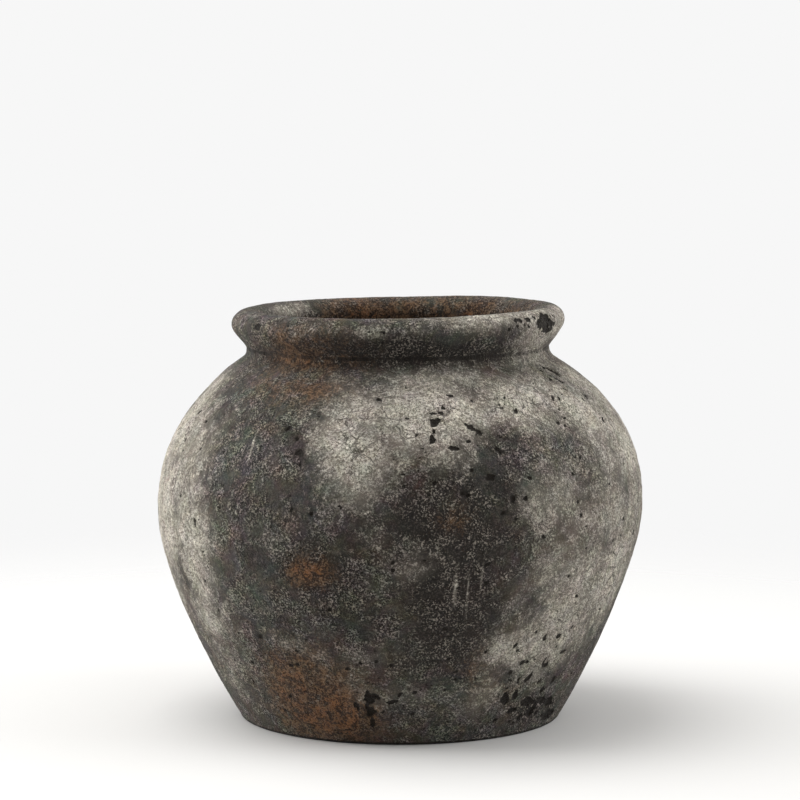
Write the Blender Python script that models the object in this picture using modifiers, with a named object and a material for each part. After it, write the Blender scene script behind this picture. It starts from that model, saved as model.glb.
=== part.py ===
"""Wide-bellied clay jar with a narrow foot, a short collar and a rolled rim.

The jar is put together the way a potter builds it, from clay members that are
luted one on top of the other: a base dish, a lower wall, a shoulder, a collar
and a rolled rim. All of them are turned shapes about +Z. The origin is the
centre of the underside, where the jar stands. Units are metres.
"""

from bisect import bisect_left
from math import cos, pi, radians, sin

import bpy
from mathutils import Vector

# Driving dimensions -----------------------------------------------------

HEIGHT = 0.237              # underside of the foot to the crest of the rim
BELLY_DIAMETER = 0.280      # outside, at the widest level
BELLY_HEIGHT = 0.125        # level of the widest ring
FOOT_DIAMETER = 0.1865      # outside, just above the rounded foot edge
NECK_DIAMETER = 0.174       # outside, at the narrowest level under the rim
WALL = 0.008                # thickness of the clay, square to its surface

FOOT_EDGE = 0.002           # rounding where the wall turns under
FOOT_RING_WIDTH = 0.016     # flat ring that the jar stands on
HOLLOW_DEPTH = 0.0015       # the underside inside the ring, which stays clear
HOLLOW_SLOPE = 0.0030       # run of the step from the ring up to that hollow
FLOOR_THICKNESS = 0.009     # underside of the ring to the inside floor
FLOOR_FILLET = 0.012        # thumb-smoothed corner between floor and wall
DISH_HEIGHT = 0.024         # top edge of the base dish

COLLAR_HEIGHT = 0.011       # collar, from the shoulder to the rim
COLLAR_FILLET = 0.007       # hollow curve where the shoulder meets the collar
COLLAR_STRAIGHT = 0.0005    # upright stretch between that curve and the rim

RIM_HEIGHT = 0.0225         # seat on the collar to the crest
RIM_OVERHANG = 0.0087       # how far the roll stands out past the collar
RIM_LIP = 0.0030            # how far it stands in past the collar's inside
RIM_CREST_INSET = 0.0095    # crest of the roll, in from its outermost line
RIM_BELLY_RISE = 0.0145     # outermost line of the roll, above its seat
RIM_INNER_ROUND = 0.0090    # height of the rounding down into the mouth

LUTING_GAP = 0.0003         # slip joint between two members

# Shape of the wall's two curves. The angles are from the upright. The handles
# are shares of the height that each curve spans, but the shoulder's is a share
# of the slant between the belly's radius and the collar.
FOOT_FLARE = radians(30.5)
FOOT_HANDLE = 0.275
LOWER_BELLY_HANDLE = 0.305
UPPER_BELLY_HANDLE = 0.31
SHOULDER_HANDLE = 0.7586
SHOULDER_LEAN = radians(56.7)

# Shape of the roll's underside, which leaves the collar almost upright and
# then slants out, and of its inside. The handles are lengths.
RIM_ROOT_LEAN = radians(15)
RIM_ROOT_HANDLE = 0.0030
RIM_BELLY_HANDLE = 0.0050
RIM_LIP_HANDLE = 0.0045

# Finish of the clay
CLAY_COLOUR = (0.105, 0.096, 0.086, 1.0)
CLAY_ROUGHNESS = 0.9

# Fineness of the facets
TURN_STEPS = 64
CURVE_STEPS = 96
DISH_RINGS = 2
WALL_RINGS = 8
COLLAR_RINGS = 6
ARC_STEPS = 5
ROLL_STEPS = 7
FOOT_EDGE_STEPS = 3
SMOOTH_UNDER = radians(35)
MERGE_DISTANCE = 0.00001

# Sizes that follow from the ones above ----------------------------------

BELLY_RADIUS = BELLY_DIAMETER / 2
FOOT_RADIUS = FOOT_DIAMETER / 2
NECK_RADIUS = NECK_DIAMETER / 2
MOUTH_RADIUS = NECK_RADIUS - WALL
COLLAR_TOP = HEIGHT - RIM_HEIGHT - LUTING_GAP
SHOULDER_TOP = COLLAR_TOP - COLLAR_HEIGHT
RIM_RADIUS = NECK_RADIUS + RIM_OVERHANG


def bezier(start, start_handle, end_handle, end, steps):
    """Points along one cubic curve in the (radius, height) plane."""
    points = []
    for step in range(steps + 1):
        t = step / steps
        s = 1 - t
        points.append(start * s ** 3 + start_handle * (3 * s * s * t)
                      + end_handle * (3 * s * t * t) + end * t ** 3)
    return points


def arc(centre, half_width, half_height, first, last, steps):
    """Points along a quarter or more of an ellipse, both ends included."""
    points = []
    for step in range(steps + 1):
        angle = first + (last - first) * step / steps
        points.append(Vector((centre.x + half_width * cos(angle),
                              centre.y + half_height * sin(angle))))
    return points


def outer_curve():
    """The wall's outer face, from the foot edge up to the rim's seat."""
    foot = Vector((FOOT_RADIUS, FOOT_EDGE))
    belly = Vector((BELLY_RADIUS, BELLY_HEIGHT))
    lower_span = BELLY_HEIGHT - FOOT_EDGE
    flare = Vector((sin(FOOT_FLARE), cos(FOOT_FLARE)))
    lower = bezier(foot, foot + flare * FOOT_HANDLE * lower_span,
                   belly - Vector((0, LOWER_BELLY_HANDLE * lower_span)),
                   belly, CURVE_STEPS)

    neck_level = COLLAR_TOP - COLLAR_STRAIGHT
    fillet_centre = Vector((NECK_RADIUS + COLLAR_FILLET, neck_level))
    fillet = arc(fillet_centre, COLLAR_FILLET, COLLAR_FILLET,
                 pi + SHOULDER_LEAN, pi, CURVE_STEPS)
    upper_span = neck_level - BELLY_HEIGHT
    lean = Vector((sin(SHOULDER_LEAN), -cos(SHOULDER_LEAN)))
    slant = (BELLY_RADIUS - fillet[0].x) / lean.x
    upper = bezier(belly, belly + Vector((0, UPPER_BELLY_HANDLE * upper_span)),
                   fillet[0] + lean * SHOULDER_HANDLE * slant,
                   fillet[0], CURVE_STEPS)
    top = [Vector((NECK_RADIUS, HEIGHT))]
    return lower + upper[1:] + fillet[1:] + top


def inset_curve(curve, depth):
    """The same curve moved in towards the axis, square to itself."""
    points = []
    for index, point in enumerate(curve):
        before = curve[max(index - 1, 0)]
        after = curve[min(index + 1, len(curve) - 1)]
        along = (after - before).normalized()
        points.append(point + Vector((-along.y, along.x)) * depth)
    return points


def radius_at(curve, height):
    """Radius of a rising curve at one height."""
    levels = [point.y for point in curve]
    above = min(max(bisect_left(levels, height), 1), len(curve) - 1)
    low, high = curve[above - 1], curve[above]
    share = (height - low.y) / (high.y - low.y)
    return low.x + (high.x - low.x) * share


def rings(curve, low, high, count):
    """Evenly spaced points of a curve from one height up to another."""
    points = []
    for ring in range(count + 1):
        height = low + (high - low) * ring / count
        points.append(Vector((radius_at(curve, height), height)))
    return points


OUTER = outer_curve()
INNER = inset_curve(OUTER, WALL)


def wall_outline(low, high, count):
    """Section of a wall member: down the outer face and up the inner one."""
    down = list(reversed(rings(OUTER, low, high, count)))
    return down + rings(INNER, low, high, count)


def base_outline():
    """Section of the base dish, from the axis inside to the axis beneath."""
    corner = Vector((radius_at(INNER, FLOOR_THICKNESS), FLOOR_THICKNESS))
    fillet_top = FLOOR_THICKNESS + FLOOR_FILLET * cos(FOOT_FLARE)
    wall_point = Vector((radius_at(INNER, fillet_top), fillet_top))
    floor_point = corner - Vector((FLOOR_FILLET, 0))
    thumb = bezier(floor_point, (floor_point + corner * 2) / 3,
                   (wall_point + corner * 2) / 3, wall_point, ARC_STEPS)
    top = [Vector((radius_at(INNER, DISH_HEIGHT), DISH_HEIGHT))]
    outside = list(reversed(rings(OUTER, FOOT_EDGE, DISH_HEIGHT, DISH_RINGS)))
    foot_centre = Vector((FOOT_RADIUS - FOOT_EDGE, FOOT_EDGE))
    edge = arc(foot_centre, FOOT_EDGE, FOOT_EDGE, 0, -pi / 2,
               FOOT_EDGE_STEPS)
    ring_inside = FOOT_RADIUS - FOOT_EDGE - FOOT_RING_WIDTH
    beneath = [Vector((ring_inside, 0)),
               Vector((ring_inside - HOLLOW_SLOPE, HOLLOW_DEPTH)),
               Vector((0, HOLLOW_DEPTH))]
    middle = [Vector((0, FLOOR_THICKNESS))]
    return middle + thumb + top + outside + edge[1:] + beneath


def rim_outline():
    """Section of the roll: crest, out and down to the seat, up the mouth."""
    seat = COLLAR_TOP + LUTING_GAP
    crest_radius = RIM_RADIUS - RIM_CREST_INSET
    widest = Vector((RIM_RADIUS, seat + RIM_BELLY_RISE))
    lip = Vector((MOUTH_RADIUS - RIM_LIP, HEIGHT - RIM_INNER_ROUND))
    outer_seat = Vector((NECK_RADIUS, seat))
    inner_seat = Vector((MOUTH_RADIUS, seat))
    root = Vector((sin(RIM_ROOT_LEAN), cos(RIM_ROOT_LEAN)))

    upper_out = arc(Vector((crest_radius, widest.y)), RIM_CREST_INSET,
                    HEIGHT - widest.y, pi / 2, 0, ARC_STEPS)
    lower_out = bezier(widest, widest - Vector((0, RIM_BELLY_HANDLE)),
                       outer_seat + root * RIM_ROOT_HANDLE,
                       outer_seat, ROLL_STEPS)
    lower_in = bezier(inner_seat, inner_seat + Vector((0, RIM_LIP_HANDLE)),
                      lip - Vector((0, RIM_LIP_HANDLE)), lip, ROLL_STEPS)
    upper_in = arc(Vector((crest_radius, lip.y)), crest_radius - lip.x,
                   RIM_INNER_ROUND, pi, pi / 2, ARC_STEPS)
    return upper_out + lower_out[1:] + lower_in + upper_in[1:-1]


def fired_clay():
    """The one body of fired clay: charcoal grey, matt and not metallic."""
    material = bpy.data.materials.new("fired_clay")
    material.use_nodes = True
    shader = material.node_tree.nodes["Principled BSDF"]
    shader.inputs["Base Color"].default_value = CLAY_COLOUR
    shader.inputs["Roughness"].default_value = CLAY_ROUGHNESS
    shader.inputs["Metallic"].default_value = 0.0
    return material


def turned_member(name, outline, closed, material, collection):
    """One clay member: its section swept once round the axis."""
    section = bpy.data.meshes.new(name + "_section")
    edges = [(i, i + 1) for i in range(len(outline) - 1)]
    if closed:
        edges.append((len(outline) - 1, 0))
    section.from_pydata([(p.x, 0, p.y) for p in outline], edges, [])
    member = bpy.data.objects.new(name, section)
    collection.objects.link(member)
    screw = member.modifiers.new("turn", "SCREW")
    screw.axis = "Z"
    screw.angle = 2 * pi
    screw.steps = TURN_STEPS
    screw.render_steps = TURN_STEPS
    screw.use_merge_vertices = True
    screw.merge_threshold = MERGE_DISTANCE

    bpy.context.view_layer.update()
    evaluated = member.evaluated_get(bpy.context.evaluated_depsgraph_get())
    mesh = bpy.data.meshes.new_from_object(evaluated)
    member.modifiers.clear()
    member.data = mesh
    mesh.name = name
    mesh.shade_smooth()
    mesh.set_sharp_from_angle(angle=SMOOTH_UNDER)
    mesh.materials.append(material)
    bpy.data.meshes.remove(section)
    return member


def build_jar():
    """Stack the members from the foot up, with a slip joint between them."""
    jar = bpy.data.collections.new("clay_jar")
    bpy.context.scene.collection.children.link(jar)
    clay = fired_clay()
    lower = wall_outline(DISH_HEIGHT + LUTING_GAP, BELLY_HEIGHT, WALL_RINGS)
    shoulder = wall_outline(BELLY_HEIGHT + LUTING_GAP, SHOULDER_TOP, WALL_RINGS)
    collar = wall_outline(SHOULDER_TOP + LUTING_GAP, COLLAR_TOP, COLLAR_RINGS)

    turned_member("base_dish", base_outline(), False, clay, jar)
    turned_member("lower_wall", lower, True, clay, jar)
    turned_member("shoulder", shoulder, True, clay, jar)
    turned_member("collar", collar, True, clay, jar)
    turned_member("rolled_rim", rim_outline(), True, clay, jar)


for leftover in list(bpy.data.objects):
    bpy.data.objects.remove(leftover)
build_jar()
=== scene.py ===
# %% [markdown]
# # An aged black-clay jar with a rolled rim
#
# The jar is one hollow turned form: a flat foot, a wall that flares out to a wide
# belly and closes again to a short collar, and a thick coil of clay rolled over as a
# rim. What makes it look real is its skin. It was smoked black, washed with lime,
# rubbed back, stained by iron, and chipped. So the lesson has three parts: the
# turned shape, the relief of the skin, and a layered clay material.

# %% Load the frame
import random
from math import ceil, cos, pi, radians, sin, tan

import bmesh
import bpy
import numpy as np
from mathutils import Matrix, Vector, noise


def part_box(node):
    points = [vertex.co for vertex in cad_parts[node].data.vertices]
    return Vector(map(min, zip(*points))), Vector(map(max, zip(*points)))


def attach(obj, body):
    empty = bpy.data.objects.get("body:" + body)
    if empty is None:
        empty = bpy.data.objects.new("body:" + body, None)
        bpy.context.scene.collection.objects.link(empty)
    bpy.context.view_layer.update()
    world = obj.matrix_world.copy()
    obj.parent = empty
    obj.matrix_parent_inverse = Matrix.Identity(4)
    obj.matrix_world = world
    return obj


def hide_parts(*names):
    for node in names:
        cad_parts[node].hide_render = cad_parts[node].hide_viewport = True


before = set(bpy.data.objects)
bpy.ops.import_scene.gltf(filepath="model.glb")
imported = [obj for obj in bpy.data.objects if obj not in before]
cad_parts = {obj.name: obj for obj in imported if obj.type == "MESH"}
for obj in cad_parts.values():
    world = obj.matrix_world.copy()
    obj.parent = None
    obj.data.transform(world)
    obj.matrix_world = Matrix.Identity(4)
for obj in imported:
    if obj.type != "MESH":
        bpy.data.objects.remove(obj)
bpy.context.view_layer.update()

MM = 0.001

# %% [markdown]
# ## Where the clay members meet
#
# A potter builds such a jar from members that are luted one on the other: a base dish, a lower wall, a
# shoulder, a collar and the rolled rim. Each one becomes a piece of its own. The heights where they meet,
# and the radii of the belly and the rim, are read from the frame; the other sizes of the section are given
# below.

# %% Sizes read from the frame
_, dish_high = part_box("base_dish")
wall_low, wall_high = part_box("lower_wall")
shoulder_low, shoulder_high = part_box("shoulder")
collar_low, collar_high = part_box("collar")
rim_low, rim_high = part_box("rolled_rim")

HEIGHT = rim_high.z
BELLY_RADIUS = wall_high.x
RIM_RADIUS = rim_high.x
DISH_TOP = (dish_high.z + wall_low.z) / 2
BELLY_HEIGHT = (wall_high.z + shoulder_low.z) / 2
SHOULDER_TOP = (shoulder_high.z + collar_low.z) / 2
COLLAR_TOP = (collar_high.z + rim_low.z) / 2

FOOT_RADIUS = 93.25 * MM
NECK_RADIUS = 87 * MM
WALL = 8 * MM
MOUTH_RADIUS = NECK_RADIUS - WALL
print("belly", round(BELLY_RADIUS / MM, 1), "rim", round(RIM_RADIUS / MM, 1), "mm")

# %% [markdown]
# ## The section of the pot
#
# A turned pot is fully told by its section: the outline of half its wall. Two
# cubic curves draw the outside, one from the foot to the belly and one from the
# belly to the neck, because a cubic curve bends the way a rib pressed against
# wet clay does. A small hollow arc turns the shoulder up into the collar, and
# quarter ellipses make the roll. The inside is the same line moved in by the
# thickness of the wall.

# %% Sizes of the section
FOOT_EDGE = 2 * MM
FOOT_RING_WIDTH = 16 * MM
HOLLOW_DEPTH = 1.5 * MM
FLOOR = 9 * MM
FLOOR_FILLET = 12 * MM
FOOT_FLARE = radians(30.5)
SHOULDER_LEAN = radians(56.7)
COLLAR_FILLET = 7 * MM
COLLAR_STRAIGHT = 0.5 * MM
RIM_BELLY_RISE = 14.5 * MM
RIM_CREST_INSET = 9.5 * MM
RIM_INNER_ROUND = 9 * MM
RIM_LIP = 3 * MM
RIM_ROOT = Vector((sin(radians(15)), cos(radians(15)))) * 3 * MM
LOWER_HANDLES = (0.275, 0.305)     # at the foot and the belly, shares of the rise
UPPER_HANDLES = (0.31, 0.7586)     # at the belly and the collar, shares of rise and slant
CURVE_STEPS = 200
print("wall", WALL / MM, "mm, floor", FLOOR / MM, "mm")

# %% Two ways to draw a line
def curve(start, start_handle, end_handle, end):
    """Points of one cubic curve in the (radius, height) plane."""
    points = []
    for step in range(CURVE_STEPS + 1):
        t = step / CURVE_STEPS
        s = 1 - t
        points.append(start * s ** 3 + start_handle * (3 * s * s * t)
                      + end_handle * (3 * s * t * t) + end * t ** 3)
    return points


def arc(centre, half_width, half_height, first, last):
    """Points of an elliptical arc, from one angle to another."""
    points = []
    for step in range(CURVE_STEPS + 1):
        angle = first + (last - first) * step / CURVE_STEPS
        points.append(Vector((centre[0] + half_width * cos(angle),
                              centre[1] + half_height * sin(angle))))
    return points

# %% The outside, from foot to collar
def outside_of_wall():
    """The wall from the foot's edge up to the seat of the rim."""
    foot = Vector((FOOT_RADIUS, FOOT_EDGE))
    belly = Vector((BELLY_RADIUS, BELLY_HEIGHT))
    span = BELLY_HEIGHT - FOOT_EDGE
    flare = Vector((sin(FOOT_FLARE), cos(FOOT_FLARE)))
    lower = curve(foot, foot + flare * LOWER_HANDLES[0] * span,
                  belly - Vector((0, LOWER_HANDLES[1] * span)), belly)
    neck_level = COLLAR_TOP - COLLAR_STRAIGHT
    fillet = arc((NECK_RADIUS + COLLAR_FILLET, neck_level), COLLAR_FILLET,
                 COLLAR_FILLET, pi + SHOULDER_LEAN, pi)
    span = neck_level - BELLY_HEIGHT
    lean = Vector((sin(SHOULDER_LEAN), -cos(SHOULDER_LEAN)))
    slant = (BELLY_RADIUS - fillet[0].x) / lean.x
    upper = curve(belly, belly + Vector((0, UPPER_HANDLES[0] * span)),
                  fillet[0] + lean * UPPER_HANDLES[1] * slant, fillet[0])
    return lower + upper[1:] + fillet[1:] + [Vector((NECK_RADIUS, COLLAR_TOP))]

# %% The inside, as the outside moved in
def moved_in(line, depth):
    """The same line, moved square to itself towards the axis."""
    points = []
    for index, point in enumerate(line):
        along = line[min(index + 1, len(line) - 1)] - line[max(index - 1, 0)]
        along.normalize()
        points.append(point + Vector((-along.y, along.x)) * depth)
    return points


def between(line, low, high):
    """The stretch of a rising line between two heights, with exact ends."""
    def at(height):
        for before, after in zip(line, line[1:]):
            if before.y <= height <= after.y:
                share = (height - before.y) / max(after.y - before.y, 1e-9)
                return before.lerp(after, share)
        return line[-1].copy()
    inner = [p for p in line if low + 1e-6 < p.y < high - 1e-6]
    return [at(low)] + inner + [at(high)]


outside = outside_of_wall()
inside = moved_in(outside, WALL)
inside.append(Vector((MOUTH_RADIUS, COLLAR_TOP)))
print("outside line:", len(outside), "points")

# %% [markdown]
# ## One skin, cut into rows
#
# The whole surface is one skin. It starts under the foot at the axis, runs up the
# outside, over the rim, down the inside and ends on the floor at the axis. It is
# walked in steps of about a millimetre where it will be seen close, and in longer
# steps inside. Because every member takes its rows from this one skin, two
# members share the very same points where they meet, and no crack can open.

# %% Stretches of the skin
FINE = 1.05 * MM
COARSE = 3.5 * MM
STEPS = 816

crest = (RIM_RADIUS - RIM_CREST_INSET, HEIGHT)
widest = Vector((RIM_RADIUS, COLLAR_TOP + RIM_BELLY_RISE))
lip = Vector((MOUTH_RADIUS - RIM_LIP, HEIGHT - RIM_INNER_ROUND))
outer_seat = Vector((NECK_RADIUS, COLLAR_TOP))
inner_seat = Vector((MOUTH_RADIUS, COLLAR_TOP))
ring_inside = FOOT_RADIUS - FOOT_EDGE - FOOT_RING_WIDTH
corner = between(inside, FLOOR, DISH_TOP)[0]
fillet_top = FLOOR + FLOOR_FILLET * cos(FOOT_FLARE)
fillet_end = between(inside, fillet_top, DISH_TOP)[0]
fillet_start = corner - Vector((FLOOR_FILLET, 0))
thumb_fillet = curve(fillet_start, (fillet_start + corner * 2) / 3,
                     (fillet_end + corner * 2) / 3, fillet_end)
underside = [Vector((0, HOLLOW_DEPTH)), Vector((ring_inside - 2 * HOLLOW_DEPTH, HOLLOW_DEPTH)),
             Vector((ring_inside, 0)), Vector((FOOT_RADIUS - FOOT_EDGE, 0))]
foot_edge = arc((FOOT_RADIUS - FOOT_EDGE, FOOT_EDGE), FOOT_EDGE, FOOT_EDGE, -pi / 2, 0)
roll = (curve(outer_seat, outer_seat + RIM_ROOT, widest - Vector((0, 5 * MM)), widest)
        + arc((crest[0], widest.y), RIM_CREST_INSET, HEIGHT - widest.y, 0, pi / 2)[1:]
        + arc((crest[0], lip.y), crest[0] - lip.x, RIM_INNER_ROUND, pi / 2, pi)[1:]
        + curve(lip, lip - Vector((0, 4.5 * MM)), inner_seat + Vector((0, 4.5 * MM)), inner_seat)[1:])
print("roll drawn with", len(roll), "points")

# %% The stretches, in the order they are walked
STRETCHES = [
    ("base_dish", underside, COARSE),
    ("base_dish", foot_edge + between(outside, FOOT_EDGE, DISH_TOP)[1:], FINE),
    ("lower_wall", between(outside, DISH_TOP, BELLY_HEIGHT), FINE),
    ("shoulder", between(outside, BELLY_HEIGHT, SHOULDER_TOP), FINE),
    ("collar", between(outside, SHOULDER_TOP, COLLAR_TOP), FINE),
    ("rolled_rim", roll, FINE),
    ("collar", between(inside, SHOULDER_TOP, COLLAR_TOP)[::-1], COARSE),
    ("shoulder", between(inside, BELLY_HEIGHT, SHOULDER_TOP)[::-1], COARSE),
    ("lower_wall", between(inside, DISH_TOP, BELLY_HEIGHT)[::-1], 2 * COARSE),
    ("base_dish", between(inside, fillet_top, DISH_TOP)[::-1] + thumb_fillet[::-1][1:]
     + [Vector((0, FLOOR))], COARSE),
]


def walked(line, spacing):
    """The line again, in even steps of about one spacing, with its own ends."""
    lengths = [0.0]
    for before, after in zip(line, line[1:]):
        lengths.append(lengths[-1] + (after - before).length)
    count = max(2, ceil(lengths[-1] / spacing))
    places = np.linspace(0, lengths[-1], count + 1)
    radii = np.interp(places, lengths, [p.x for p in line])
    heights = np.interp(places, lengths, [p.y for p in line])
    return list(zip(radii, heights))


rows = []
spans = {}
for member, line, spacing in STRETCHES:
    steps = walked(line, spacing)
    first = max(len(rows) - 1, 0)
    rows += steps if not rows else steps[1:]
    spans.setdefault(member, []).append((first, len(rows) - 1))
radius = np.array([row[0] for row in rows])
height = np.array([row[1] for row in rows])
radius[[0, -1]] = 0.0
along = np.concatenate([[0], np.cumsum(np.hypot(np.diff(radius), np.diff(height)))])
CREST_ROW = int(np.argmax(height))
print(len(rows), "rows of", STEPS, "points")

# %% [markdown]
# ## Helpers for placing marks
#
# Every mark on the skin, whether a chip or a stain, is placed the way one would
# describe it while holding the pot: so many degrees round from the front, and so
# high. Distances on the skin are measured along it, in millimetres.

# %% Places on the skin
turn = np.arange(STEPS) * 2 * pi / STEPS        # angle of each column, from +X
azimuth = (np.degrees(turn) + 90 + 180) % 360 - 180   # 0 at the front, which is -Y
base = np.stack([radius[:, None] * np.cos(turn), radius[:, None] * np.sin(turn),
                 np.repeat(height[:, None], STEPS, 1)], 2)

slope_r = np.gradient(radius, along)
slope_z = np.gradient(height, along)
out_r, out_z = slope_z, -slope_r
length = np.hypot(out_r, out_z)
out_r, out_z = out_r / length, out_z / length
outward = np.stack([out_r[:, None] * np.cos(turn), out_r[:, None] * np.sin(turn),
                    np.repeat(out_z[:, None], STEPS, 1)], 2)
print("one point to every", round(2 * pi * BELLY_RADIUS / STEPS / MM, 2), "mm round the belly")

# %% Noise, soft steps and distances on the skin
def speckle(size, octaves, seed):
    """Noise on the skin, about -1 to 1, with lumps of the given size."""
    shift = Vector((seed * 3.7, seed * 1.3, seed * 2.9))
    flat = base.reshape(-1, 3) / size
    values = [noise.fractal(Vector(p) + shift, 1.0, 2.0, octaves) for p in flat]
    return np.array(values).reshape(base.shape[:2])


def ramp(value, low, high):
    """0 below low, 1 above high, with a smooth rise between."""
    t = np.clip((value - low) / (high - low), 0, 1)
    return t * t * (3 - 2 * t)


def row_at(level, inner=False):
    """How far along the skin the given height lies, outside or inside."""
    if inner:
        return np.interp(-level, -height[CREST_ROW:], along[CREST_ROW:])
    foot_row = spans["base_dish"][1][0]
    return np.interp(level, height[foot_row:CREST_ROW + 1], along[foot_row:CREST_ROW + 1])


def reach(mark_azimuth, level, width, tall, lean=0.0, inner=False, part=slice(None)):
    """Distance from a mark's centre, as a share of its half sizes."""
    across = ((azimuth - mark_azimuth + 180) % 360 - 180)[None, :] * (pi / 180)
    across = across * radius[part, None]
    up = (along[part] - row_at(level * MM, inner))[:, None] * (-1 if inner else 1)
    c, s = cos(radians(lean)), sin(radians(lean))
    a = (across * c + up * s) / (width * MM / 2)
    b = (up * c - across * s) / (tall * MM / 2)
    return np.sqrt(a * a + b * b)


ragged_big = speckle(24 * MM, 4, 11)
ragged_small = speckle(5 * MM, 3, 12)
print("skin points:", base.shape[0] * base.shape[1])

# %% [markdown]
# ## Stains and washes, with painted shade and a painted highlight
#
# Lime wash was dabbed on and rubbed back, iron bled through in two or three places, and smoke left the
# darkest clouds. Some smoke clouds are painted shade laid over real smoke: the band under the roll and the
# inner wall below the lip. The wash clouds on the left edge are real wash with a painted highlight over
# it. Each cloud is a soft oval whose edge is frayed with noise. The values are kept on the mesh as
# attributes, because a stain belongs to a place on the pot, and the material only has to read them.

# %% Clouds of wash, smoke and rust, with painted shade and a painted highlight
# azimuth, height, width, tall, lean, strength: degrees and millimetres
LIME_AND_EDGE_HIGHLIGHT = [
    (1, 184, 64, 44, 20, 0.95), (-9, 168, 56, 44, 50, 0.90), (16, 192, 60, 34, 0, 0.90),
    (-14, 182, 50, 50, 0, 0.50), (37, 192, 66, 40, 0, 0.80), (54, 186, 60, 44, -30, 0.80),
    (6, 205, 80, 16, 0, 0.50), (62, 160, 44, 70, 0, 0.45), (16, 168, 44, 30, 0, 0.45),
    (46, 112, 50, 66, 0, 0.62), (42, 80, 54, 60, -8, 0.66), (36, 140, 50, 50, 0, 0.50),
    (38, 46, 56, 40, 0, 0.85), (64, 92, 44, 90, 0, 0.95), (52, 96, 40, 60, 0, 0.50),
    # From here, clouds on the left edge (about -56 to -88 degrees) are real wash and also a painted
    # highlight where the light from the left falls.
    (-56, 112, 34, 70, 0, 1.00),
    (-70, 128, 46, 100, 0, 1.00), (-60, 160, 44, 60, 0, 0.45), (-84, 120, 60, 120, 0, 0.9),
    (-55, 66, 44, 60, -20, 0.40), (-60, 30, 40, 40, 0, 0.35), (-5, 56, 60, 24, 10, 0.30),
    (26, 26, 34, 30, 0, 0.38), (36, 236, 64, 16, 0, 0.95), (60, 228, 44, 30, 0, 0.75),
    (10, 237, 50, 8, 0, 0.60), (6, 106, 40, 20, 20, 0.30), (-8, 230, 150, 12, 0, 0.38),
    (-3, 116, 50, 50, 0, 0.30),
    (56, 223, 44, 16, 0, 0.55), (60, 209, 44, 12, 0, 0.30), (84, 192, 60, 44, 0, 0.70),
    (78, 168, 56, 90, 0, 0.78), (84, 118, 50, 90, 0, 0.70), (80, 228, 44, 34, 0, 0.85),
    (-8, 30, 34, 28, 0, 0.45), (8, 30, 30, 24, 0, 0.30), (26, 70, 20, 60, -10, 0.35),
    (-39, 167, 1.8, 20, 4, 1.00), (13, 96, 1.5, 24, 0, 0.60), (16, 92, 1.5, 30, 2, 0.60),
    (19, 100, 1.6, 20, -2, 0.60), (-30, 120, 60, 26, 30, 0.22), (-28, 60, 50, 20, -20, 0.25),
    # Two more left-edge clouds: wash with a painted highlight.
    (-80, 178, 60, 60, 0, 0.50), (-88, 140, 50, 120, 0, 0.85),
    (100, 150, 90, 70, 15, 0.80), (118, 84, 70, 60, 0, 0.70), (150, 188, 80, 40, 0, 0.75),
    (172, 120, 90, 70, -20, 0.85), (-150, 70, 80, 60, 10, 0.60), (-128, 160, 90, 60, 0, 0.80),
    (-110, 96, 60, 70, 0, 0.55), (140, 40, 60, 40, 0, 0.50), (-165, 200, 60, 20, 0, 0.6),
]
# The clouds from 213 to 222 mm high, under the roll, are painted shade over real smoke.
SMOKE_AND_SHADE = [
    (14, 100, 60, 100, 0, 1.00), (4, 126, 60, 44, -25, 0.80), (16, 152, 34, 30, 0, 0.60),
    (-14, 222, 80, 16, 0, 0.85), (-10, 214, 110, 9, 0, 0.95), (-30, 140, 70, 50, 0, 0.30),
    (58, 14, 34, 16, 0, 0.95), (44, 14, 30, 18, 0, 0.55), (-28, 80, 60, 60, 0, 0.25),
    (8, 60, 70, 44, 0, 0.55), (-50, 214, 60, 14, 0, 0.55), (24, 128, 36, 50, 0, 0.6),
    (25, 214, 120, 8, 0, 0.95), (14, 219, 130, 12, 0, 0.75), (-36, 213, 80, 8, 0, 0.80),
    (-20, 104, 44, 34, 0, 0.75),
    (92, 196, 50, 26, 0, 0.30), (130, 120, 80, 60, 0, 0.80), (-140, 110, 90, 60, 0, 0.75),
    (160, 60, 90, 40, 0, 0.70), (-100, 40, 80, 40, 0, 0.60), (-170, 160, 70, 40, 0, 0.60),
]
RUST = [
    (-20, 103, 28, 18, 0, 1.05), (-28, 30, 50, 50, 10, 1.25), (-19, 18, 44, 34, 0, 1.10),
    (-36, 212, 64, 20, 0, 0.60), (-32, 196, 80, 26, 0, 0.55), (-36, 226, 60, 20, 0, 0.60),
    (22, 46, 22, 30, 0, 0.45), (30, 30, 20, 20, 0, 0.50), (38, 62, 20, 24, 0, 0.35),
    (12, 133, 20, 14, 0, 0.40), (96, 60, 50, 40, 0, 0.70), (-122, 50, 60, 50, 0, 0.80),
    (150, 140, 40, 30, 0, 0.60), (-160, 90, 40, 30, 0, 0.60), (125, 224, 60, 20, 0, 0.6),
]
RUST_INSIDE = [(-160, 226, 44, 26, 0, 1.0), (170, 222, 110, 40, 0, 0.6), (120, 218, 110, 40, 0, 0.7)]
# Painted shade over smoke: these darken the inner wall below the lip, most in a band on the left.
SMOKE_AND_SHADE_INSIDE = [(180, 222, 420, 50, 0, 0.55), (-98, 222, 80, 14, 0, 0.95), (180, 216, 300, 16, 0, 0.60)]
LIME_INSIDE = [(-122, 233, 56, 12, 0, 0.80), (150, 200, 80, 30, 0, 0.4)]
print(len(LIME_AND_EDGE_HIGHLIGHT), "clouds of wash,", len(SMOKE_AND_SHADE), "of smoke and", len(RUST), "of rust outside")

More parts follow.
